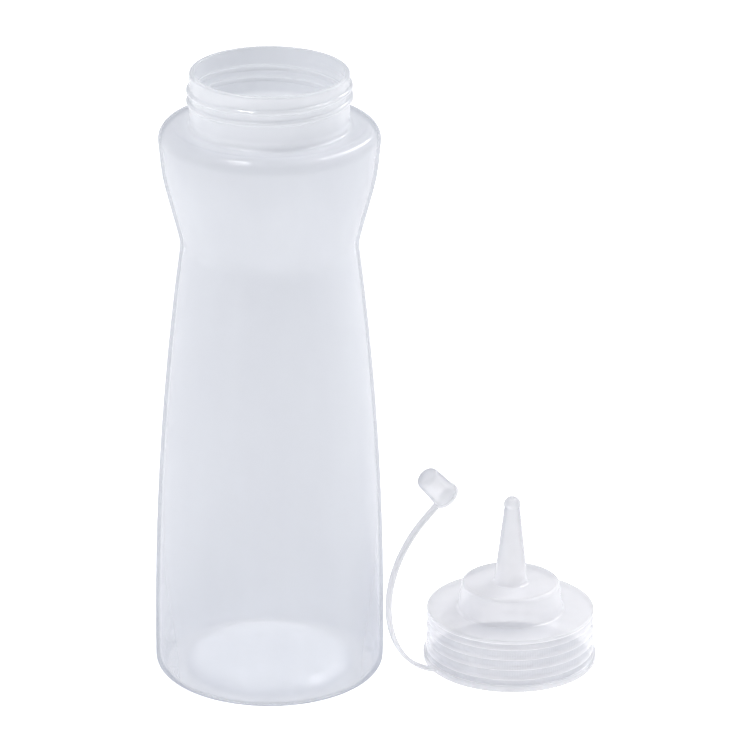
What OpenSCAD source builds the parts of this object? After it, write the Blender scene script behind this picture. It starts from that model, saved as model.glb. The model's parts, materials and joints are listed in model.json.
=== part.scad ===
// Dispensing sauce bottle with its nozzle cap off and standing beside it.
// The bottle is one blow moulding. The cap, its strap and its tip cap are one injection moulding.
// Millimetres, +Z up. The table is z = 0, and the origin is the middle of the pair's footprint.

/* [Bottle body] */
// Height of the bottle, from the table to its rim
bottle_h = 201.5; // [190:0.5:260]
// Diameter of the body at its widest, low on the belly
belly_d = 73.4; // [66:0.2:90]
// Height of the widest place
belly_z = 12; // [8:0.5:30]
// Diameter at the waist
waist_d = 55.8; // [50:0.2:62]
// Height of the waist
waist_z = 145.3; // [120:0.5:152]
// Diameter at the knee, where the flare above the waist turns upright
knee_d = 67.4; // [64:0.2:70]
// Height of the knee
knee_z = 167.8; // [160:0.2:172]
// Diameter of the upper body at the shoulder
shoulder_d = 70.4; // [68:0.2:76]
// Radius of the shoulder
shoulder_round = 7; // [3:0.2:8]
// Radius of the bend at the waist
waist_round = 14; // [4:0.5:25]
// Radius of the bend at the knee
knee_round = 45; // [10:1:60]
// Radius round the bottom edge
base_round = 5.4; // [2:0.1:8]
// Height of the push-up under the base
push_h = 2.6; // [1:0.1:6]
// Diameter of the push-up's flat middle
push_d = 45; // [20:0.5:48]
// Inner diameter of the ring that the bottle stands on
foot_d = 53; // [50:0.5:58]
// Radius round the edge of the push-up's flat middle
push_round = 2; // [0.5:0.1:4]
// Radius inside the ring that the bottle stands on
foot_round = 1.5; // [0.5:0.1:3]
// Wall of the body
wall = 1.2; // [0.8:0.05:2]

/* [Neck] */
// Outer diameter of the neck, without its thread
neck_d = 50; // [46:0.1:54]
// Height of the neck, from the shoulder to the rim
neck_h = 17.4; // [15:0.1:20]
// Wall of the neck
neck_wall = 1.7; // [1.2:0.05:2.4]
// Radius where the neck meets the shoulder
neck_root = 1.2; // [0.4:0.1:2]
// Radius inside the neck's foot
inner_root = 0.8; // [0.2:0.1:1.5]
// Radius of the rim, outside and inside
rim_round = 0.7; // [0.2:0.05:0.75]
// Depth of the thread
thread_depth = 0.95; // [0.5:0.05:1.2]
// Rise of the thread in one turn
thread_pitch = 3.6; // [2.5:0.05:4.5]
// Turns of thread on the neck
thread_turns = 2.2; // [1:0.1:2.5]
// Width of the thread at its foot
thread_w = 2; // [1.2:0.05:2.4]
// Width of the thread's crest
crest_w = 0.7; // [0.3:0.05:1]
// Distance from the rim down to the top of the thread's first turn
thread_drop = 2.4; // [1.4:0.1:4]

/* [Cap] */
// Gap between the bottle's belly and the cap's flange where they stand
cap_gap = 13.15; // [11:0.05:60]
// Distance that the cap stands behind the bottle's middle, along Y
cap_back = 3.8; // [-10:0.2:10]
// Gap between the bottle's thread and the inside of the skirt, when the cap is on
skirt_gap = 0.2; // [0.1:0.05:0.4]
// Wall of the skirt at the foot of its lowest band
skirt_wall = 1.1; // [0.9:0.05:2]
// Height of the skirt under the cap's top plate
skirt_h = 16.2; // [15:0.1:20]
// Thickness of the top plate
plate_t = 1.4; // [1:0.05:2.5]
// How much the skirt narrows from its foot to the top plate
skirt_draft = 0.25; // [0:0.05:0.4]
// Number of bands round the skirt
band_n = 4; // [2:1:5]
// Height from the table to the foot of the lowest band
band_z = 3.9; // [3:0.1:5]
// Height from one band to the next
band_pitch = 3.45; // [2.5:0.05:4]
// Depth of the step under each band
band_step = 0.38; // [0.1:0.02:0.5]
// Radius of each band's lower edge
band_round = 0.12; // [0.05:0.01:0.2]
// Height of the groove between bands
groove_h = 0.55; // [0.3:0.05:1]
// Height of the plain edge of the top plate
plate_edge = 1.2; // [0.9:0.05:2]
// Radius of the top plate's rim
plate_round = 0.8; // [0.3:0.05:0.85]
// How far the bottom flange stands out past the bands
flange_out = 0.7; // [0.3:0.05:2]
// Height of the bottom flange
flange_h = 2; // [1.6:0.1:3]
// Radius of the flange's edges
flange_round = 0.45; // [0.1:0.05:0.8]
// Turns of thread inside the skirt
cap_turns = 1.6; // [1:0.1:2.5]

/* [Boss and nozzle] */
// Diameter of the boss where it rises from the top plate
boss_d = 34; // [28:0.2:42]
// Diameter of the boss at its top
boss_top_d = 31.4; // [24:0.2:40]
// Height of the boss above the top plate
boss_h = 9.1; // [5:0.1:15]
// Radius where the boss meets the top plate
boss_root = 0.9; // [0.3:0.05:2]
// Radius of the boss's upper edge
boss_round = 1; // [0.3:0.05:2]
// Wall of the boss and of its roof
boss_wall = 1.3; // [1:0.05:2]
// Diameter of the nozzle at the boss
nozzle_d = 10.8; // [9:0.1:14]
// Diameter of the nozzle just under its rounded tip
nozzle_tip_d = 5; // [4.4:0.1:6]
// Radius where the nozzle meets the boss
nozzle_root = 1.2; // [0.3:0.05:2]
// Height of the nozzle above the boss
nozzle_h = 29.3; // [20:0.1:45]
// Height of the nozzle's rounded tip
nozzle_tip_h = 3; // [2:0.1:5]
// How far the rounded tip narrows before its edge turns over
nozzle_tip_in = 0.4; // [0.1:0.05:0.8]
// Radius of the nozzle's tip edge
nozzle_tip_round = 1.3; // [0.4:0.05:1.5]
// Wall of the nozzle
nozzle_wall = 1.1; // [0.8:0.05:1.4]
// Diameter of the hole in the nozzle's tip
hole_d = 1.8; // [1:0.1:2.2]
// Length of the hole in the nozzle's tip
hole_h = 2; // [1:0.1:4]

/* [Strap] */
// Direction in which the strap leaves the cap, turned from -X towards -Y
strap_turn = 27; // [0:1:90]
// Width of the strap
strap_w = 3; // [2:0.1:6]
// Thickness of the strap
strap_t = 1.2; // [0.8:0.05:1.8]
// Height of the strap's middle above the flange's middle
strap_lift = 0.2; // [0:0.05:0.3]
// Length of the strap between its two tabs
strap_len = 68.7; // [60:0.2:80]
// Slope at which the strap leaves the flange
strap_rise = 5; // [0:0.5:30]
// Angle that the strap turns through from end to end
strap_bend = 138; // [80:0.5:145]
// Spread of the bend: 1 is an even arc, and less than 1 bends most near the root
strap_spread = 0.63; // [0.5:0.01:1]
// Length of the tab on the cap's flange
root_tab = 1.1; // [0.6:0.1:3]
// Gap between two sections of the strap
bend_gap = 0.45; // [0.3:0.05:0.6]
// Gap between the root tab's round nose and the bend beside it
root_gap = 0.3; // [0.2:0.05:0.6]

/* [Tip cap] */
// Slope of the tip cap's tab, from outward through upright
tip_turn = 138; // [120:1:150]
// Length of the tip cap
tip_h = 11.2; // [9:0.1:16]
// Outer diameter of the tip cap above its lip
tip_d = 8.3; // [7.4:0.1:10]
// Outer diameter of the tip cap at its closed end
tip_end_d = 7; // [6.6:0.1:9]
// How far the lip stands out past the tip cap's side
lip_out = 0.3; // [0.2:0.05:1]
// Height of the lip
lip_h = 1.2; // [0.8:0.1:2]
// Radius of the lip's edges
lip_round = 0.35; // [0.1:0.05:0.5]
// Diameter of the tip cap's bore at its mouth
tip_bore_d = 6.8; // [6:0.1:7]
// Diameter of the tip cap's bore at its deep end
tip_deep_d = 5.9; // [5:0.1:6.2]
// Thickness of the tip cap's closed end
tip_roof = 1.3; // [0.8:0.1:2]
// Radius of the tip cap's closed end
tip_round = 2.2; // [0.5:0.1:3]
// Bevel round the deep end of the bore
tip_bevel = 0.5; // [0.2:0.05:1]
// Length of the tab on the tip cap's lip
tip_tab = 0.8; // [0.5:0.1:2]

/* [Hidden] */
$fn = 96;
arc_step = 9;
strap_n = 8;
milky = [0.90, 0.92, 0.95];
clear_milky = [0.93, 0.95, 0.98];
embed = 0.25;
inner_edge = 0.5;
tab_in = 0.8;

belly_r = belly_d / 2;
waist_r = waist_d / 2;
neck_r = neck_d / 2;
bore_r = neck_r - neck_wall;
shoulder_z = bottle_h - neck_h;
crest_r = neck_r + thread_depth;
skirt_in_r = crest_r + skirt_gap;
band_r = skirt_in_r + skirt_wall;
flange_r = band_r + flange_out;
plate_z = skirt_h + plate_t;
boss_z = plate_z + boss_h;
tip_z = boss_z + nozzle_h;
cap_apart = belly_r + cap_gap + flange_r;
bottle_x = -(cap_apart + flange_r - belly_r) / 2;
cap_x = bottle_x + cap_apart;
lip_r = tip_d / 2 + lip_out;
tip_reach = lip_r + tip_tab;
strap_z = flange_h / 2 + strap_lift;

// Unit vector along v.
function unit(v) = v / norm(v);

// Points of the rounded corner b of a path that comes from a and goes on to c.
function corner(a, b, c, r) =
    let (
        u = unit(a - b),
        v = unit(c - b),
        half = acos(u * v) / 2,
        reach = min(r / tan(half), 0.49 * norm(a - b), 0.49 * norm(c - b)),
        radius = reach * tan(half),
        centre = b + unit(u + v) * radius / sin(half),
        first = b + u * reach - centre,
        start = atan2(first.y, first.x),
        turn = sign(u.y * v.x - u.x * v.y) * (180 - 2 * half),
        steps = max(2, ceil(abs(turn) / arc_step))
    )
    [for (k = [0:steps]) centre + radius * [cos(start + turn * k / steps), sin(start + turn * k / steps)]];

// A path of [radius, height, corner radius] rows with its corners rounded.
function rounded(path) = [
    for (i = [0:len(path) - 1])
        let (b = [path[i][0], path[i][1]])
        each path[i][2] == 0 ? [b] : corner(
            [path[i - 1][0], path[i - 1][1]], b, [path[i + 1][0], path[i + 1][1]], path[i][2]
        )
];

function reversed(list) = [for (i = [len(list) - 1:-1:0]) list[i]];

// Radius of the belly's long curve at height z: one arc, upright at belly_z, that ends at the waist.
belly_curve = (pow(waist_z - belly_z, 2) + pow(belly_r - waist_r, 2)) / (2 * (belly_r - waist_r));
function belly(z) = belly_r - belly_curve + sqrt(pow(belly_curve, 2) - pow(z - belly_z, 2));

// Outline of the body from the middle of its base up to the shoulder, moved inwards by t.
belly_steps = 10;
function body_path(t) = concat(
    [
        [0, push_h + t, 0],
        [push_d / 2, push_h + t, push_round],
        [foot_d / 2, t, foot_round],
        [belly(0) - t, t, base_round - t]
    ],
    [for (k = [1:belly_steps - 1]) [belly(waist_z * k / belly_steps) - t, waist_z * k / belly_steps, 0]],
    [
        [waist_r - t, waist_z, waist_round],
        [knee_d / 2 - t, knee_z, knee_round],
        [shoulder_d / 2 - t, shoulder_z - t, shoulder_round - t]
    ]
);

// One thread ridge: turns of a helix at radius foot_r, standing out by rise (inwards where it is negative).
thread_steps = 30;
fade = 0.12;
module thread_ridge(foot_r, rise, z, turns) {
    count = ceil(turns * thread_steps);
    side = sign(rise);
    rings = [
        for (k = [0:count])
            let (
                t = k / count,
                a = 360 * turns * t,
                grow = min(1, t / fade, (1 - t) / fade),
                h = rise * (0.08 + 0.92 * grow),
                mid = z + thread_pitch * turns * t,
                foot = thread_w / 2,
                top = crest_w / 2
            )
            for (p = [
                [foot_r - side * embed, mid - foot],
                [foot_r + h, mid - top],
                [foot_r + h, mid + top],
                [foot_r - side * embed, mid + foot]
            ])
                [p[0] * cos(a), p[0] * sin(a), p[1]]
    ];
    last = 4 * count;
    sides = [
        for (k = [0:count - 1])
            for (j = [0:3])
                let (a = 4 * k + j, b = 4 * k + (j + 1) % 4)
                each [[a, b, a + 4], [b, b + 4, a + 4]]
    ];
    ends = [[0, 2, 1], [0, 3, 2], [last, last + 1, last + 2], [last, last + 2, last + 3]];
    faces = concat(sides, ends);
    polyhedron(rings, rise > 0 ? faces : [for (f = faces) [f[0], f[2], f[1]]]);
}

// The bottle's wall, from the push-up under the base to the rim, with the thread on its neck.
module bottle() {
    rim = min(rim_round, neck_wall * 0.45);
    outside = rounded(concat(
        body_path(0),
        [[neck_r, shoulder_z, neck_root], [neck_r, bottle_h, rim], [bore_r, bottle_h, 0]]
    ));
    inside = rounded(concat(
        body_path(wall),
        [[bore_r, shoulder_z - wall, inner_root], [bore_r, bottle_h - rim, 0], [bore_r + rim, bottle_h, 0]]
    ));
    thread_z = bottle_h - thread_drop - thread_w / 2 - thread_pitch * thread_turns;
    color(clear_milky)
        translate([bottle_x, 0, 0]) {
            rotate_extrude()
                polygon(concat([for (i = [0:len(outside) - 2]) outside[i]], reversed(inside)));
            thread_ridge(neck_r, thread_depth, thread_z, thread_turns);
        }
}

// Radius of the skirt's bands at height z, with the draft that lets the cap leave its mould.
function skirt_r(z) = band_r - skirt_draft * z / skirt_h;

// The screw cap: skirt with stepped bands, top plate, boss and hollow nozzle.
module nozzle_cap() {
    groove_r = skirt_r(band_z) - band_step;
    bands = [
        for (k = [0:band_n - 1])
            let (
                z = band_z + k * band_pitch,
                top = min(z + band_pitch, plate_z - plate_edge),
                r = skirt_r(z)
            )
            if (top - groove_h > z)
                each [[r, z, band_round], [r - band_step, top - groove_h, band_round], [r - band_step, top, band_round]]
    ];
    plate_r = skirt_r(plate_z);
    outside = rounded(concat(
        [[skirt_in_r, 0, 0], [flange_r, 0, flange_round], [flange_r, flange_h, flange_round]],
        [[groove_r, flange_h, flange_round / 2], [groove_r, band_z, band_round]],
        bands,
        [
            [plate_r, plate_z - plate_edge, band_round],
            [plate_r, plate_z, plate_round],
            [boss_d / 2, plate_z, boss_root],
            [boss_top_d / 2, boss_z, boss_round],
            [nozzle_d / 2, boss_z, nozzle_root],
            [nozzle_tip_d / 2, tip_z - nozzle_tip_h, nozzle_tip_round],
            [nozzle_tip_d / 2 - nozzle_tip_in, tip_z, nozzle_tip_round],
            [hole_d / 2, tip_z, 0]
        ]
    ));
    inside = rounded([
        [skirt_in_r, 0, 0],
        [skirt_in_r, skirt_h, inner_edge],
        [boss_d / 2 - boss_wall, skirt_h, inner_edge],
        [boss_top_d / 2 - boss_wall, boss_z - boss_wall, boss_round],
        [nozzle_d / 2 - nozzle_wall, boss_z - boss_wall, inner_edge],
        [nozzle_tip_d / 2 - nozzle_wall, tip_z - nozzle_tip_h, inner_edge],
        [hole_d / 2, tip_z - hole_h, 0],
        [hole_d / 2, tip_z, 0]
    ]);
    color(milky)
        translate([cap_x, cap_back, 0]) {
            rotate_extrude()
                polygon(concat(outside, reversed([for (i = [1:len(inside) - 2]) inside[i]])));
            thread_ridge(skirt_in_r, skirt_gap / 2 - thread_depth, thread_w, cap_turns);
            rotate([0, 0, 180 + strap_turn])
                root_nose();
        }
}

// The tab on the flange that carries the strap, with a round nose that the strap bends over.
module root_nose() {
    nose_r = strap_t / 2;
    nose_x = flange_r + root_tab - root_gap - nose_r;
    translate([0, strap_w / 2, strap_z])
        rotate([90, 0, 0])
            linear_extrude(strap_w) {
                translate([nose_x, 0])
                    circle(nose_r, $fn = 32);
                translate([flange_r - tab_in, -nose_r])
                    square([nose_x - flange_r + tab_in, strap_t]);
            }
}

// Places children in the strap's own upright plane: X runs outwards from the cap's axis.
module in_strap_plane() {
    translate([cap_x, cap_back, 0])
        rotate([0, 0, 180 + strap_turn])
            children();
}

section_len = strap_len / strap_n;

// Slope of each section, in the middle of its length.
slopes = [for (i = [0:strap_n - 1]) strap_rise + strap_bend * pow((i + 0.5) / strap_n, strap_spread)];

// The bends between the sections, from the tab on the flange to the tab on the tip cap.
function bend_point(i) = i == 0
    ? [flange_r + root_tab, 0, strap_z]
    : bend_point(i - 1) + section_len * [cos(slopes[i - 1]), 0, sin(slopes[i - 1])];

// Section i of the strap: a flat ribbon with round edges, straight between two bends.
module strap_section(i) {
    color(milky)
        in_strap_plane()
            translate(bend_point(i - 1))
                rotate([0, 90 - slopes[i - 1], 0])
                    translate([0, 0, bend_gap / 2])
                        linear_extrude(section_len - bend_gap)
                            ribbon();
}

module ribbon() {
    square([strap_t, strap_w - strap_t], center = true);
    for (s = [-1, 1])
        translate([0, s * (strap_w - strap_t) / 2])
            circle(d = strap_t, $fn = 32);
}

// The tip cap: a thimble with a lip round its mouth, held by its tab on the strap's end.
module tip_cap() {
    side = rounded([
        [tip_bore_d / 2, 0, 0],
        [lip_r, 0, lip_round],
        [lip_r, lip_h, lip_round],
        [tip_d / 2, lip_h, lip_round / 2],
        [tip_end_d / 2, tip_h, tip_round],
        [0, tip_h, 0]
    ]);
    bore = [
        [0, tip_h - tip_roof],
        [tip_deep_d / 2 - tip_bevel, tip_h - tip_roof],
        [tip_deep_d / 2, tip_h - tip_roof - tip_bevel]
    ];
    color(milky)
        in_strap_plane()
            translate(bend_point(strap_n))
                rotate([0, 180 - tip_turn, 0])
                    translate([-tip_reach, 0, -lip_h / 2]) {
                        rotate_extrude()
                            polygon(concat(side, bore));
                        translate([lip_r - tab_in, -strap_w / 2, 0])
                            cube([tip_tab + tab_in - bend_gap / 2, strap_w, lip_h]);
                    }
}

bottle();
nozzle_cap();
for (i = [1:strap_n])
    strap_section(i);
tip_cap();
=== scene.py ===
import json
import math

import bmesh
import bpy
from mathutils import Matrix, Quaternion, Vector


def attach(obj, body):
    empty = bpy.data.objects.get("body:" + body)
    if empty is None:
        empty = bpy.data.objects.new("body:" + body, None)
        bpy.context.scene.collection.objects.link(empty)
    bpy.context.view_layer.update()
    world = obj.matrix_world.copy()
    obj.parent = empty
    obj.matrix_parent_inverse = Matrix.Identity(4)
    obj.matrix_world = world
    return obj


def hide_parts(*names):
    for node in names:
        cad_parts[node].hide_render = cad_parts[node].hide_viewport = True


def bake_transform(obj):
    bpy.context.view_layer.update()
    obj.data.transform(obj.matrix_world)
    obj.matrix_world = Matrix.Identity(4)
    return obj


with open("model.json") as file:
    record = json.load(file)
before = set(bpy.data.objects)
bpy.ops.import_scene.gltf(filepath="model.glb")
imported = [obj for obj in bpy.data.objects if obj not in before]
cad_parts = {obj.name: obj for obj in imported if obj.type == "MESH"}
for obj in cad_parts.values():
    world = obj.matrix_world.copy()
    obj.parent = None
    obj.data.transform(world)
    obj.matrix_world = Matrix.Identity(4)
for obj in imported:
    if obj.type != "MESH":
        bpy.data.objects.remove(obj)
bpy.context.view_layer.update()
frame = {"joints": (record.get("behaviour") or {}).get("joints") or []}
mm = 0.001
arcShare = 0.49  # of an edge, at most, goes into the arc at each of its ends
mergeGap = 0.002 * mm
print("frame loaded")


def linearColour(hexCode):  # sRGB hex to the linear numbers that the shaders take
    values = [int(hexCode[i:i + 2], 16) / 255 for i in (0, 2, 4)]
    return [v / 12.92 if v <= 0.04045 else ((v + 0.055) / 1.055) ** 2.4 for v in values] + [1]


def addNode(tree, kind, settings=None, links=None):
    node = tree.nodes.new(kind)
    for key, value in (settings or {}).items():
        if isinstance(key, int) or key in node.inputs:
            node.inputs[key].default_value = value
        else:
            setattr(node, key, value)
    for socket, source in (links or {}).items():
        tree.links.new(source, node.inputs[socket])
    return node


def roundedPath(rows, arcStep):
    # rows of (radius, height, corner radius), corners turned into short arcs
    points = []
    for i, (r, z, corner) in enumerate(rows):
        here = Vector((r, z))
        if corner == 0:
            points.append(here)
            continue
        before = Vector(rows[i - 1][:2]) - here
        after = Vector(rows[i + 1][:2]) - here
        half = before.angle(after) / 2
        reach = min(corner / math.tan(half), arcShare * before.length, arcShare * after.length)
        radius = reach * math.tan(half)
        u, v = before.normalized(), after.normalized()
        centre = here + (u + v).normalized() * radius / math.sin(half)
        first = here + u * reach - centre
        last = here + v * reach - centre
        turn = first.angle_signed(last)
        steps = max(2, math.ceil(abs(math.degrees(turn)) / arcStep))
        for k in range(steps + 1):
            a = -turn * k / steps
            points.append(centre + Vector((
                first.x * math.cos(a) - first.y * math.sin(a),
                first.x * math.sin(a) + first.y * math.cos(a),
            )))
    return points


def fineSteps(points, longest, low, high):
    # extra points between heights low and high, where the relief needs them
    out = [points[0]]
    for a, b in zip(points, points[1:]):
        inside = low < (a.y + b.y) / 2 < high
        count = max(1, math.ceil((b - a).length / longest)) if inside else 1
        out += [a.lerp(b, k / count) for k in range(1, count + 1)]
    return out


def spinPath(bm, points, axisX, axisY, steps, sectors=8):
    # one sector is spun, then copied round and merged: far quicker than one long spin
    centre = (axisX * mm, axisY * mm, 0)
    verts = [bm.verts.new(((axisX + p.x) * mm, axisY * mm, p.y * mm)) for p in points]
    edges = [bm.edges.new(pair) for pair in zip(verts, verts[1:])]
    bmesh.ops.spin(
        bm, geom=verts + edges, cent=centre, axis=(0, 0, 1),
        angle=2 * math.pi / sectors, steps=steps // sectors, use_merge=False, use_duplicate=False,
    )
    sector = bm.verts[:] + bm.edges[:] + bm.faces[:]
    for k in range(1, sectors):
        copied = bmesh.ops.duplicate(bm, geom=sector)["geom"]
        bmesh.ops.rotate(
            bm, verts=[g for g in copied if isinstance(g, bmesh.types.BMVert)], cent=centre,
            matrix=Matrix.Rotation(2 * math.pi * k / sectors, 3, "Z"),
        )
    bmesh.ops.remove_doubles(bm, verts=bm.verts[:], dist=mergeGap)
    bmesh.ops.recalc_face_normals(bm, faces=bm.faces[:])


def finishPiece(bm, name, material):
    mesh = bpy.data.meshes.new(name)
    bm.to_mesh(mesh)
    bm.free()
    mesh.materials.append(material)
    mesh.polygons.foreach_set("use_smooth", [True] * len(mesh.polygons))
    piece = bpy.data.objects.new(name, mesh)
    bpy.context.scene.collection.objects.link(piece)
    return piece


def smoothStep(x):
    x = min(1, max(0, x))
    return x * x * (3 - 2 * x)


def near(value, target, width):  # 1 at the target, fading to 0 at width from it
    return 1 - smoothStep(abs(value - target) / width)


def threadRelief(x, y, z, thread, turns, startZ):
    # share of the thread's full height at a point, from its helix
    angle = math.atan2(y, x) % (2 * math.pi)
    best = 0
    for lap in range(math.ceil(turns) + 1):
        along = (angle / (2 * math.pi) + lap) / turns
        if along > 1:
            continue
        off = abs(z - startZ - thread["pitch"] * turns * along)
        side = 1 - smoothStep((off - thread["crest"] / 2) / ((thread["width"] - thread["crest"]) / 2))
        ends = min(1, along / thread["fade"], (1 - along) / thread["fade"])
        best = max(best, side * smoothStep(ends))
    return best


# natural LDPE has no pigment: it is milky, lets half the light through and reflects like wax.
# Sizes and depths of its patterns are in millimetres
def naturalPlastic(name, look):
    material = bpy.data.materials.new(name)
    material.use_nodes = True
    tree = material.node_tree
    tree.nodes.clear()
    place = addNode(tree, "ShaderNodeTexCoord").outputs["Object"]

    # blown or packed slightly thicker and thinner in slow drifts, which reads as denser and clearer
    stretched = addNode(
        tree, "ShaderNodeMapping", {"Scale": look["driftStretch"]}, {"Vector": place}
    ).outputs["Vector"]
    drift = addNode(
        tree, "ShaderNodeTexNoise",
        {"Scale": 1 / (look["driftSize"] * mm), "Detail": 2.0, "Roughness": 0.4}, {"Vector": stretched},
    ).outputs["Fac"]
    colour = addNode(tree, "ShaderNodeMix", {"data_type": "RGBA"}, {0: drift})
    colour.inputs[6].default_value = linearColour(look["dense"])
    colour.inputs[7].default_value = linearColour(look["thin"])
    drifted = addNode(
        tree, "ShaderNodeMapRange",
        {
            "From Min": look["driftLow"], "From Max": look["driftHigh"],
            "To Min": look["opacity"] + look["driftShare"], "To Max": look["opacity"] - look["driftShare"],
        },
        {"Value": drift},
    ).outputs["Result"]
    # a thick place scatters more light and looks whiter: each piece marks its own from 0 to 1. Not every mark is
    # thickness: the cap's band crests, its rim and the bottle's neck root are marked whiter as painted highlights,
    # and the cap's grooves clearer as painted shade
    thick = addNode(tree, "ShaderNodeAttribute", {"attribute_name": "thickness"}).outputs["Fac"]
    opacity = addNode(
        tree, "ShaderNodeMath", {"operation": "MULTIPLY_ADD", "use_clamp": True, 1: look["thickAndPaintedLightWhiter"]},
        {0: thick, 2: drifted},
    ).outputs[0]

    # satin skin, a little duller where hands and the mould have rubbed it
    rubbed = addNode(
        tree, "ShaderNodeTexNoise",
        {"Scale": 1 / (look["rubSize"] * mm), "Detail": 3.0, "Roughness": 0.5}, {"Vector": place},
    ).outputs["Fac"]
    rough = addNode(
        tree, "ShaderNodeMapRange",
        {
            "From Min": look["rubLow"], "From Max": look["rubHigh"],
            "To Min": look["glossy"], "To Max": look["dull"],
        },
        {"Value": rubbed},
    ).outputs["Result"]

    # orange peel: the real one is under a millimetre wide, drawn coarser so that it shows at this distance
    peel = addNode(
        tree, "ShaderNodeTexNoise",
        {"Scale": 1 / (look["peelSize"] * mm), "Detail": 1.0, "Roughness": 0.4}, {"Vector": place},
    ).outputs["Fac"]
    bump = addNode(
        tree, "ShaderNodeBump",
        {"Strength": look["peelStrength"], "Distance": look["peelDepth"] * mm}, {"Height": peel},
    ).outputs["Normal"]

    skin = addNode(
        tree, "ShaderNodeBsdfPrincipled",
        {
            "IOR": 1.51, "Specular IOR Level": look["specular"],
            "Coat Weight": look["waxy"], "Coat Roughness": look["waxyRough"], "Coat IOR": 1.5,
        },
        {"Base Color": colour.outputs[2], "Roughness": rough, "Normal": bump},
    ).outputs["BSDF"]
    glow = addNode(tree, "ShaderNodeBsdfTranslucent", {}, {"Color": colour.outputs[2]}).outputs["BSDF"]
    milky = addNode(tree, "ShaderNodeMixShader", {"Fac": look["through"]}, {1: skin, 2: glow}).outputs[0]
    clear = addNode(tree, "ShaderNodeBsdfTransparent", {"Color": linearColour(look["tint"])}).outputs["BSDF"]
    surface = addNode(tree, "ShaderNodeMixShader", {}, {0: opacity, 1: clear, 2: milky}).outputs[0]
    addNode(tree, "ShaderNodeOutputMaterial", {}, {"Surface": surface})
    return material


bottlePlastic = naturalPlastic("blown_natural_ldpe", {
    "dense": "F7F9FB", "thin": "FAFBFD", "tint": "FCFCFD",
    "driftStretch": (1, 1, 0.3), "driftSize": 26.0, "driftLow": 0.25, "driftHigh": 0.75, "driftShare": 0.03,
    "opacity": 0.36, "thickAndPaintedLightWhiter": 0.3,
    "rubSize": 14.0, "rubLow": 0.3, "rubHigh": 0.7, "glossy": 0.2, "dull": 0.27,
    "peelSize": 4.0, "peelDepth": 0.02, "peelStrength": 0.3,
    "through": 0.35, "specular": 1.0, "waxy": 1.0, "waxyRough": 0.08,
})
capPlastic = naturalPlastic("injected_natural_ldpe", {
    "dense": "FCFCFD", "thin": "FDFDFE", "tint": "FDFDFE",
    "driftStretch": (1, 1, 1), "driftSize": 9.0, "driftLow": 0.25, "driftHigh": 0.75, "driftShare": 0.03,
    "opacity": 0.42, "thickAndPaintedLightWhiter": 0.3,
    "rubSize": 6.0, "rubLow": 0.3, "rubHigh": 0.7, "glossy": 0.18, "dull": 0.26,
    "peelSize": 1.8, "peelDepth": 0.01, "peelStrength": 0.3,
    "through": 0.3, "specular": 1.0, "waxy": 1.0, "waxyRough": 0.08,
})
print("materials made")


# radii and heights in millimetres; the last lines say how much whiter its thick places look, and how much the neck's
# root is whitened as a painted highlight
bottle = {
    "axisX": -34.525, "height": 201.5, "belly": 36.7, "bellyZ": 12, "waist": 27.9, "waistZ": 145.3,
    "knee": 33.7, "kneeZ": 167.8, "shoulder": 35.2, "shoulderRound": 7, "waistRound": 14, "kneeRound": 45,
    "baseRound": 5.4, "pushUp": 2.6, "pushRadius": 22.5, "pushRound": 2, "foot": 26.5, "footRound": 1.5,
    "wall": 1.2, "neck": 25, "neckHeight": 17.4, "neckWall": 1.7, "neckRoot": 1.2, "innerRoot": 0.8,
    "rim": 0.7, "rimDeep": 2, "rimArc": 15, "threadRise": 0.95, "threadTurns": 2.2, "threadTop": 2.4,
    "threadUnder": 1.5, "threadOver": 1, "innerShare": 0.6,
    "bellySteps": 20, "threadStep": 0.3, "heelStep": 4, "arcStep": 5, "steps": 224,
    "neckThick": 0.5, "neckFade": 1.5, "rootPaintedHighlight": 0.8, "rootUp": 0.4, "rootIn": 0.5, "rootHigh": 3, "rootWide": 5,
    "discThick": 0.5, "discFade": 1.5, "discEdge": 2, "heelThin": 0.25, "heelLow": 8, "heelFade": 60,
}
thread = {"pitch": 3.6, "width": 2, "crest": 0.7, "fade": 0.12}


def bellyRadius(z):
    b = bottle
    curve = ((b["waistZ"] - b["bellyZ"]) ** 2 + (b["belly"] - b["waist"]) ** 2) / (2 * (b["belly"] - b["waist"]))
    return b["belly"] - curve + math.sqrt(curve ** 2 - (z - b["bellyZ"]) ** 2)


def bodyRows(inset):
    b = bottle
    shoulderZ = b["height"] - b["neckHeight"]
    rows = [
        (0, b["pushUp"] + inset, 0),
        (b["pushRadius"], b["pushUp"] + inset, b["pushRound"]),
        (b["foot"], inset, b["footRound"]),
        (bellyRadius(0) - inset, inset, b["baseRound"] - inset),
    ]
    for k in range(1, b["bellySteps"]):
        z = b["waistZ"] * k / b["bellySteps"]
        rows.append((bellyRadius(z) - inset, z, 0))
    return rows + [
        (b["waist"] - inset, b["waistZ"], b["waistRound"]),
        (b["knee"] - inset, b["kneeZ"], b["kneeRound"]),
        (b["shoulder"] - inset, shoulderZ - inset, b["shoulderRound"] - inset),
    ]


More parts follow.
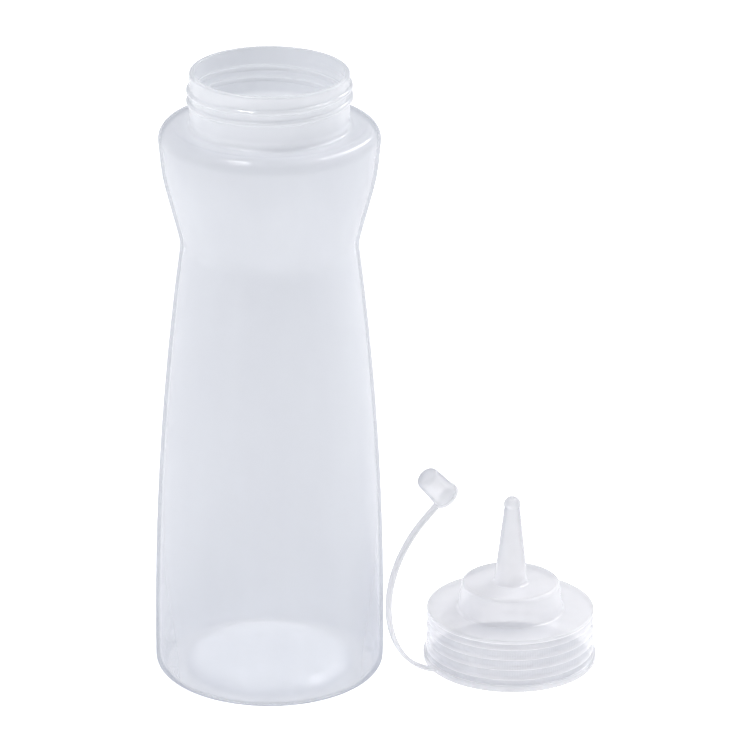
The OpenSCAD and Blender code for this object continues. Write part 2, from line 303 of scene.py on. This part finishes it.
def makeBottle():
    b = bottle
    shoulderZ = b["height"] - b["neckHeight"]
    bore = b["neck"] - b["neckWall"]
    outside = roundedPath(bodyRows(0) + [
        (b["neck"], shoulderZ, b["neckRoot"]), (b["neck"], b["height"], b["rim"]), (bore, b["height"], 0),
    ], b["arcStep"])
    inside = roundedPath(bodyRows(b["wall"]) + [
        (bore, shoulderZ - b["wall"], b["innerRoot"]), (bore, b["height"] - b["rim"], 0),
        (bore + b["rim"], b["height"], 0),
    ], b["arcStep"])
    # the rim's inner edge is rounded like its outer one
    rimInside = roundedPath([
        (b["neck"] - b["neckWall"] / 2, b["height"], 0), (bore, b["height"], b["rim"]),
        (bore, b["height"] - b["rimDeep"], 0),
    ], b["rimArc"])
    path = outside[:-1] + rimInside + inside[:-2][::-1]
    startZ = b["height"] - b["threadTop"] - thread["width"] / 2 - thread["pitch"] * b["threadTurns"]
    threadLow, threadHigh = startZ - b["threadUnder"], b["height"] - b["threadOver"]
    path = fineSteps(path, b["threadStep"], threadLow, threadHigh)
    path = fineSteps(path, b["heelStep"], b["heelLow"] / 2, b["heelLow"] + b["heelFade"] + b["heelStep"])
    bm = bmesh.new()
    spinPath(bm, path, b["axisX"], 0, b["steps"])
    thickness = bm.verts.layers.float.new("thickness")
    for v in bm.verts:
        x, y, z = v.co.x / mm - b["axisX"], v.co.y / mm, v.co.z / mm
        radius = math.hypot(x, y)
        if z < b["baseRound"]:
            # the push-up is the thickest part of the blow moulding, most of all its edge
            disc = 1 - smoothStep((radius - b["pushRadius"]) / b["discFade"])
            v[thickness] = b["discThick"] * (disc + near(radius, b["pushRadius"], b["discEdge"]))
        # the heel is drawn out thinner than the rest of the wall
        if radius > b["foot"]:
            v[thickness] -= b["heelThin"] * (1 - smoothStep((z - b["heelLow"]) / b["heelFade"]))
        v[thickness] += b["neckThick"] * smoothStep((z - shoulderZ) / b["neckFade"])
        # the neck's root is marked whiter: a painted highlight along the crease where it meets the shoulder
        root = near(z, shoulderZ + b["rootUp"], b["rootHigh"]) * near(radius, b["neck"] - b["rootIn"], b["rootWide"])
        v[thickness] += b["rootPaintedHighlight"] * root
        if z < threadLow or z > threadHigh or radius < bore - 0.1:
            continue
        share = threadRelief(x, y, z, thread, b["threadTurns"], startZ)
        rise = b["threadRise"] * share * (1 if radius > bore + 0.3 else b["innerShare"])
        v.co.x += x / radius * rise * mm
        v.co.y += y / radius * rise * mm
        v[thickness] += (1 - b["neckThick"]) * share
    piece = finishPiece(bm, "bottle_body", bottlePlastic)
    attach(piece, "bottle")
    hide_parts("bottle")


makeBottle()
print("bottle made")


# radii and heights in millimetres; the last lines say how white its thick places look, and how wide they are; the
# rim's whiteness is partly a painted highlight
cap = {
    "axisX": 43.275, "axisY": 3.8,
    "skirtIn": 26.15, "skirtWall": 1.1, "skirtHeight": 16.2, "plate": 1.4, "draft": 0.25,
    "bands": 4, "bandZ": 3.9, "bandPitch": 3.45, "bandStep": 0.5, "bandRound": 0.12, "groove": 0.55,
    "flare": ((0.3, 0.5, 0.4), (0.75, 1.5, 1)), "bandArc": 30, "seamIn": 0.6, "footRound": 0.2,
    "plateEdge": 1.2, "plateRound": 0.8, "flangeOut": 0.7, "flange": 2, "flangeRound": 0.45, "mouthRound": 0.3,
    "boss": 17, "bossTop": 15.7, "bossHeight": 9.1, "bossRoot": 0.9, "bossRound": 1.3, "bossWall": 1.3,
    "nozzle": 5.4, "nozzleRoot": 1.2, "nozzleHeight": 29.3, "nozzleTip": 2.5, "tipHeight": 3.4,
    "tipRound": 0.5, "dome": 2.7, "domeSteps": 8, "nozzleWall": 1.1, "hole": 0.9, "holeRound": 0.2, "holeHeight": 2,
    "innerEdge": 0.5, "threadRise": 0.85, "threadTurns": 1.6, "threadLow": 0.4, "threadHigh": 9.5, "threadStep": 0.5,
    "ribs": 206, "ribDepth": 0.035, "ribSteps": 4, "ribFoot": 0.5, "ribTop": 0.4, "arcStep": 8, "steps": 208,
    "rimThickAndHighlight": 1, "rimWide": 2, "rimFade": 1.2, "bossRootThick": 0.8, "bossEdgeThick": 1, "bossEdgeIn": 0.5,
    "bossWide": 1.5, "nozzleRootThick": 0.8, "nozzleWide": 2, "nozzleTipThick": 0.5, "tipFade": 1.5,
    "flangeThick": 0.7, "flangeIn": 1, "plateHigh": 2, "rootHigh": 3,
}
plateZ = cap["skirtHeight"] + cap["plate"]
bossZ = plateZ + cap["bossHeight"]
tipZ = bossZ + cap["nozzleHeight"]
bandRadius = cap["skirtIn"] + cap["skirtWall"]
flangeRadius = bandRadius + cap["flangeOut"]


def skirtRadius(z):
    return bandRadius - cap["draft"] * z / cap["skirtHeight"]


def makeCap():
    c = cap
    groove = skirtRadius(c["bandZ"]) - c["bandStep"]
    # the ribbed wall from the flange up to the top plate's rim
    rows = [
        (flangeRadius - c["seamIn"], c["flange"], 0), (groove, c["flange"], c["footRound"]),
        (groove, c["bandZ"], c["bandRound"]),
    ]
    for k in range(c["bands"]):
        z = c["bandZ"] + k * c["bandPitch"]
        top = min(z + c["bandPitch"], plateZ - c["plateEdge"])
        if top - c["groove"] > z:
            r = skirtRadius(z)
            # each band flares outwards to its lower edge
            rows.append((r, z, c["bandRound"]))
            rows += [(r - share * c["bandStep"], z + rise, corner) for share, rise, corner in c["flare"]]
            rows.append((r - c["bandStep"], top, c["bandRound"]))
    rim = skirtRadius(plateZ)
    rows += [(rim, plateZ - c["plateEdge"], c["bandRound"]), (rim, plateZ - c["plateRound"], 0)]
    skirtPath = roundedPath(rows, c["bandArc"])
    bm = bmesh.new()
    spinPath(bm, skirtPath, c["axisX"], c["axisY"], c["ribs"] * c["ribSteps"])
    thickness = bm.verts.layers.float.new("thickness")
    for v in bm.verts:
        x, y, z = v.co.x / mm - c["axisX"], v.co.y / mm - c["axisY"], v.co.z / mm
        fade = smoothStep((z - c["flange"]) / c["ribFoot"]) * smoothStep((plateZ - c["plateRound"] - z) / c["ribTop"])
        radius = math.hypot(x, y)
        wave = -0.5 * c["ribDepth"] * (1 - math.cos(c["ribs"] * math.atan2(y, x))) * fade
        v.co.x += x / radius * wave * mm
        v.co.y += y / radius * wave * mm
        # the band crests are marked whiter and the grooves clearer: painted light on the crests and painted shade in
        # the grooves
        v[thickness] = smoothStep(1 - (skirtRadius(z) - radius) / c["bandStep"])
    skirt = finishPiece(bm, "cap_skirt", capPlastic)

    # everything else of the moulding: rim, top, boss, nozzle, and the inside with its thread
    holeTurn = math.acos((c["hole"] + c["holeRound"]) / c["dome"])
    domeTurns = [holeTurn * k / c["domeSteps"] for k in range(c["domeSteps"] + 1)]
    domeZ = tipZ - c["dome"] * math.sin(holeTurn)
    dome = [(c["dome"] * math.cos(a), domeZ + c["dome"] * math.sin(a), 0) for a in domeTurns]
    top = roundedPath([
        (rim, plateZ - c["plateRound"], 0), (rim, plateZ, c["plateRound"]), (c["boss"], plateZ, c["bossRoot"]),
        (c["bossTop"], bossZ, c["bossRound"]), (c["nozzle"], bossZ, c["nozzleRoot"]),
        (c["nozzleTip"], tipZ - c["tipHeight"], c["tipRound"]), *dome,
        (c["hole"], tipZ - c["holeRound"], 0), (c["hole"], tipZ - c["holeHeight"], 0),
    ], c["arcStep"])
    under = roundedPath([
        (flangeRadius - c["seamIn"], c["flange"], 0), (flangeRadius, c["flange"], c["flangeRound"]),
        (flangeRadius, 0, c["flangeRound"]), (c["skirtIn"], 0, c["mouthRound"]),
        (c["skirtIn"], c["skirtHeight"], c["innerEdge"]),
        (c["boss"] - c["bossWall"], c["skirtHeight"], c["innerEdge"]),
        (c["bossTop"] - c["bossWall"], bossZ - c["bossWall"], c["bossRound"]),
        (c["nozzle"] - c["nozzleWall"], bossZ - c["bossWall"], c["innerEdge"]),
        (c["nozzleTip"] - c["nozzleWall"], tipZ - c["tipHeight"], c["innerEdge"]),
        (c["hole"], tipZ - c["holeHeight"], 0),
    ], c["arcStep"])
    # the rim's start is left open: the ribbed wall closes it
    path = fineSteps(top + under[:-1][::-1], c["threadStep"], c["threadLow"], c["threadHigh"])
    bm = bmesh.new()
    spinPath(bm, path, c["axisX"], c["axisY"], c["steps"])
    thickness = bm.verts.layers.float.new("thickness")
    for v in bm.verts:
        x, y, z = v.co.x / mm - c["axisX"], v.co.y / mm - c["axisY"], v.co.z / mm
        radius = math.hypot(x, y)
        # where two walls meet: the plate's rim over the skirt, the boss's two edges, the nozzle's root and tip. The
        # rim's whiter band is partly its thicker corner and partly a painted highlight of the light from above on its
        # rounded edge
        v[thickness] = max(
            c["rimThickAndHighlight"] * near(z, plateZ, c["plateHigh"])
            * smoothStep((radius - c["skirtIn"] + c["rimWide"]) / c["rimFade"]),
            c["bossRootThick"] * near(radius, c["boss"], c["bossWide"]) * near(z, plateZ, c["plateHigh"]),
            c["bossEdgeThick"] * near(z, bossZ, c["plateHigh"])
            * near(radius, c["bossTop"] - c["bossEdgeIn"], c["bossWide"]),
            c["nozzleRootThick"] * near(z, bossZ, c["rootHigh"])
            * (1 - smoothStep((radius - c["nozzle"]) / c["nozzleWide"])),
            c["nozzleTipThick"] * smoothStep((z - tipZ + c["tipHeight"]) / c["tipFade"]),
            c["flangeThick"] * near(z, 0, c["rootHigh"]) * smoothStep(radius - c["skirtIn"] + c["flangeIn"]),
        )
        if z < c["threadLow"] or z > c["threadHigh"] or abs(radius - c["skirtIn"]) > 0.05:
            continue
        share = threadRelief(x, y, z, thread, c["threadTurns"], thread["width"])
        v.co.x -= x / radius * c["threadRise"] * share * mm
        v.co.y -= y / radius * c["threadRise"] * share * mm
    shell = finishPiece(bm, "cap_shell", capPlastic)
    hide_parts("nozzle_cap")
    for piece in (skirt, shell):
        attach(piece, "cap")


makeCap()
print("cap made")


# one ribbon in nine stretches, each bending over one hinge; lengths in millimetres
strap = {
    "width": 3.0, "thickness": 1.2, "rootWidth": 6.0, "rootLength": 2.4, "sectionPoints": 20,
    "rings": 14, "rootIn": 0.9, "tipIn": 1.5, "thick": 0.8,
}
hinges = {j["name"]: Vector(j["pos_m"]) for j in frame["joints"] if j["type"] == "hinge"}
hingeOrder = [
    "strap_fold", "strap_bend_2", "strap_bend_3", "strap_bend_4", "strap_bend_5",
    "strap_bend_6", "tip_press", "strap_bend_8", "tip_cap_bend",
]
bends = [hinges[name] for name in hingeOrder]
middles = [(a + b) / 2 for a, b in zip(bends, bends[1:])]
outward = Vector((bends[0].x - cap["axisX"] * mm, bends[0].y - cap["axisY"] * mm, 0)).normalized()
across = Vector((0, 0, 1)).cross(outward)


def ribbon(name, start, knee, end, widths):
    # a flat section with round edges, carried along a curve from start over the bend to end
    half = strap["thickness"] / 2
    count = strap["sectionPoints"]
    bm = bmesh.new()
    ring = bmesh.ops.create_circle(bm, cap_ends=False, radius=1, segments=count)["verts"]
    edges = bm.edges[:]
    for k in range(strap["rings"] + 1):
        t = k / strap["rings"]
        centre = start * (1 - t) ** 2 + knee * 2 * t * (1 - t) + end * t ** 2
        along = ((knee - start) * (1 - t) + (end - knee) * t).normalized()
        up = along.cross(across)
        if k:
            grown = bmesh.ops.extrude_edge_only(bm, edges=edges)["geom"]
            ring = [g for g in grown if isinstance(g, bmesh.types.BMVert)]
            edges = [g for g in grown if isinstance(g, bmesh.types.BMEdge) and all(v in ring for v in g.verts)]
        side = widths(t) / 2 - half
        for i, v in enumerate(ring):
            a = 2 * math.pi * (i + 0.5) / count
            x = math.cos(a) * half + math.copysign(side, math.cos(a))
            v.co = centre + (across * x + up * math.sin(a) * half) * mm
    bmesh.ops.recalc_face_normals(bm, faces=bm.faces[:])
    thickness = bm.verts.layers.float.new("thickness")
    for v in bm.verts:
        v[thickness] = strap["thick"]
    return finishPiece(bm, name, capPlastic)


def makeStrap():
    s = strap
    plain = lambda t: s["width"]
    wider = s["rootWidth"] - s["width"]
    axis = Vector((cap["axisX"] * mm, cap["axisY"] * mm, bends[0].z))
    for i, bend in enumerate(bends):
        if i == 0:
            start, end = axis + outward * (flangeRadius - s["rootIn"]) * mm, middles[0]
            length = (end - start).length / mm
            widths = lambda t: s["width"] + wider * (1 - smoothStep(t * length / s["rootLength"]))
        elif i == len(bends) - 1:
            start, end, widths = middles[-1], bend + tipInward * s["tipIn"] * mm, plain
        else:
            start, end, widths = middles[i - 1], middles[i], plain
        piece = ribbon(f"strap_stretch_{i + 1}", start, bend, end, widths)
        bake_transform(piece)
        if i:
            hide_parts(f"strap_{i}")


# lengths in millimetres, and the angle by which the open tip cap leans over
tip = {
    "slope": 138, "height": 11.7, "side": 4.3, "end": 3.8, "endRound": 1.8, "lipOut": 0.3, "lip": 1.2,
    "lipRound": 0.2, "bore": 3.4, "boreDeep": 2.95, "roof": 1.3, "bevel": 0.5, "mouthRound": 0.25,
    "innerEdge": 0.3, "tab": 0.65, "mouthThick": 1.2, "arcStep": 9, "steps": 96,
}
tipReach = tip["side"] + tip["lipOut"] + tip["tab"]
strapPlane = Matrix((
    (outward.x, across.x, 0, cap["axisX"] * mm), (outward.y, across.y, 0, cap["axisY"] * mm),
    (0, 0, 1, 0), (0, 0, 0, 1),
))
tipBend = strapPlane.inverted() @ bends[-1]
tipPlace = strapPlane @ Matrix.Translation(tipBend) @ Matrix.Rotation(math.radians(180 - tip["slope"]), 4, "Y")
tipInward = (tipPlace.to_3x3() @ Vector((-1, 0, 0))).normalized()


def makeTipCap():
    t = tip
    lip = t["side"] + t["lipOut"]
    path = roundedPath([
        (0, t["height"], 0), (t["end"], t["height"], t["endRound"]), (t["side"], t["lip"], t["lipRound"]),
        (lip, t["lip"], t["lipRound"]), (lip, 0, t["lipRound"]), (t["bore"], 0, t["mouthRound"]),
        (t["boreDeep"], t["height"] - t["roof"] - t["bevel"], t["innerEdge"]),
        (t["boreDeep"] - t["bevel"], t["height"] - t["roof"], t["innerEdge"]), (0, t["height"] - t["roof"], 0),
    ], t["arcStep"])
    bm = bmesh.new()
    spinPath(bm, path, 0, 0, t["steps"])
    thickness = bm.verts.layers.float.new("thickness")
    for v in bm.verts:
        v[thickness] = near(v.co.z / mm, 0, t["mouthThick"])
    bmesh.ops.transform(
        bm, matrix=tipPlace @ Matrix.Translation(Vector((-tipReach, 0, -t["lip"] / 2)) * mm), verts=bm.verts[:],
    )
    piece = finishPiece(bm, "tip_cap_shell", capPlastic)
    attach(piece, "tip_cap")
    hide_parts("tip_cap")


makeStrap()
makeTipCap()
print("strap and tip cap made")


# the table's glow differs for what it lights and for what the camera sees. The room tilts in degrees
stage = {
    "table": "FFFFFF", "tableGlow": 0.42, "tableSeen": 0.6, "tablePaintedShade": "979FAF", "tableSize": 6.0,
    "tableRough": 0.9, "roomColour": "F7F8FC", "roomDark": 0.22, "roomBright": 0.52, "roomTilt": 50,
    "sideWalls": 0.44, "softboxAim": 0.18, "softboxWidth": 0.07,
}


def makeStage():
    bm = bmesh.new()
    bmesh.ops.create_grid(bm, x_segments=1, y_segments=1, size=stage["tableSize"] / 2)
    opal = bpy.data.materials.new("matt_opal_acrylic")
    opal.use_nodes = True
    tree = opal.node_tree
    tree.nodes.clear()
    # a light table: matt opal acrylic, softly lit from below, so that it shows next to no shadow.
    # Seen through the clear parts of the plastic it is painted a dim blue-grey instead: painted shade on the table
    # behind and under the plastic
    path = addNode(tree, "ShaderNodeLightPath")
    behind = addNode(
        tree, "ShaderNodeMath", {"operation": "GREATER_THAN", 1: 0.5}, {0: path.outputs["Transparent Depth"]}
    ).outputs[0]
    dimmed = addNode(
        tree, "ShaderNodeMath", {"operation": "MULTIPLY"}, {0: behind, 1: path.outputs["Is Camera Ray"]}
    ).outputs[0]
    matt = addNode(
        tree, "ShaderNodeBsdfDiffuse", {"Color": linearColour(stage["table"]), "Roughness": stage["tableRough"]}
    ).outputs[0]
    strength = addNode(
        tree, "ShaderNodeMapRange", {"To Min": stage["tableGlow"], "To Max": stage["tableSeen"]},
        {"Value": path.outputs["Is Camera Ray"]},
    ).outputs["Result"]
    glow = addNode(tree, "ShaderNodeEmission", {}, {"Strength": strength}).outputs[0]
    white = addNode(tree, "ShaderNodeAddShader", {}, {0: matt, 1: glow}).outputs[0]
    # painted shade: the table in dim blue-grey where the camera sees it through the plastic
    dim = addNode(
        tree, "ShaderNodeBsdfDiffuse", {"Color": linearColour(stage["tablePaintedShade"]), "Roughness": stage["tableRough"]}
    ).outputs[0]
    both = addNode(tree, "ShaderNodeMixShader", {}, {0: dimmed, 1: white, 2: dim}).outputs[0]
    addNode(tree, "ShaderNodeOutputMaterial", {}, {"Surface": both})
    table = finishPiece(bm, "table", opal)

    world = bpy.data.worlds.new("soft_room")
    bpy.context.scene.world = world
    world.use_nodes = True
    tree = world.node_tree
    tree.nodes.clear()
    # the room is bright above and behind the object, and darker behind the camera
    direction = addNode(tree, "ShaderNodeTexCoord").outputs["Generated"]
    tilted = addNode(
        tree, "ShaderNodeMapping", {"Rotation": (math.radians(stage["roomTilt"]), 0, 0)}, {"Vector": direction}
    ).outputs["Vector"]
    split = addNode(tree, "ShaderNodeSeparateXYZ", {}, {0: tilted})
    height = addNode(
        tree, "ShaderNodeMapRange",
        {"From Min": -1, "From Max": 1, "To Min": stage["roomDark"], "To Max": stage["roomBright"]},
        {"Value": split.outputs["Z"]},
    ).outputs["Result"]
    # white walls on its left and right, which lighten the sides of the round body
    walls = addNode(
        tree, "ShaderNodeMath", {"operation": "MULTIPLY"}, {0: split.outputs["X"], 1: split.outputs["X"]}
    ).outputs[0]
    strength = addNode(
        tree, "ShaderNodeMath", {"operation": "MULTIPLY_ADD", 1: stage["sideWalls"]}, {0: walls, 2: height}
    ).outputs[0]
    room = addNode(
        tree, "ShaderNodeBackground", {"Color": linearColour(stage["roomColour"])}, {"Strength": strength}
    ).outputs[0]
    white = addNode(tree, "ShaderNodeBackground", {"Color": (1, 1, 1, 1), "Strength": 1.0}).outputs[0]
    seen = addNode(tree, "ShaderNodeLightPath").outputs["Is Camera Ray"]
    both = addNode(tree, "ShaderNodeMixShader", {}, {0: seen, 1: room, 2: white}).outputs[0]
    addNode(tree, "ShaderNodeOutputWorld", {}, {"Surface": both})


def addSoftbox(name, start, end, watts):
    # a long strip of light from start to end in metres, facing the bottle's shoulder
    start, end = Vector(start), Vector(end)
    middle = (start + end) / 2
    back = (middle - Vector((bottle["axisX"] * mm, 0, stage["softboxAim"]))).normalized()
    along = end - start
    along = (along - back * along.dot(back)).normalized()
    lamp = bpy.data.lights.new(name, "AREA")
    lamp.shape = "RECTANGLE"
    lamp.size, lamp.size_y = (end - start).length, stage["softboxWidth"]
    lamp.energy = watts
    holder = bpy.data.objects.new(name, lamp)
    holder.matrix_world = Matrix.Translation(middle) @ Matrix((along, back.cross(along), back)).transposed().to_4x4()
    bpy.context.scene.collection.objects.link(holder)


# fitted to the photo: a long lens that looks down at the table. Metres and degrees
photoCamera = {"sensor": 36, "lens": 262.2, "y": -1.602, "z": 0.754, "lookDown": 22.21, "roll": -1.105}


def makeCamera():
    p = photoCamera
    data = bpy.data.cameras.new("photo_camera")
    data.sensor_width = p["sensor"]
    data.lens = p["lens"]
    data.clip_start, data.clip_end = 0.05, 20
    camera = bpy.data.objects.new("photo_camera", data)
    camera.location = (bottle["axisX"] * mm, p["y"], p["z"])
    camera.rotation_mode = "QUATERNION"
    camera.rotation_quaternion = (
        Quaternion((1, 0, 0), math.radians(90 - p["lookDown"])) @ Quaternion((0, 1, 0), math.radians(p["roll"]))
    )
    bpy.context.scene.collection.objects.link(camera)
    bpy.context.scene.camera = camera


makeStage()
addSoftbox("softbox_right", (0.66, 0.08, 1.5), (0.78, 1.1, 0.74), watts=8)
addSoftbox("softbox_left", (-0.6, 0, 1.46), (-0.33, -0.15, 1.54), watts=5)
makeCamera()
bpy.context.scene.view_settings.view_transform = "Standard"
# light passes many thin milky walls, more than Blender follows by itself
bpy.context.scene.cycles.transparent_max_bounces = 32
bpy.context.scene.cycles.diffuse_bounces = 8
print("stage made")
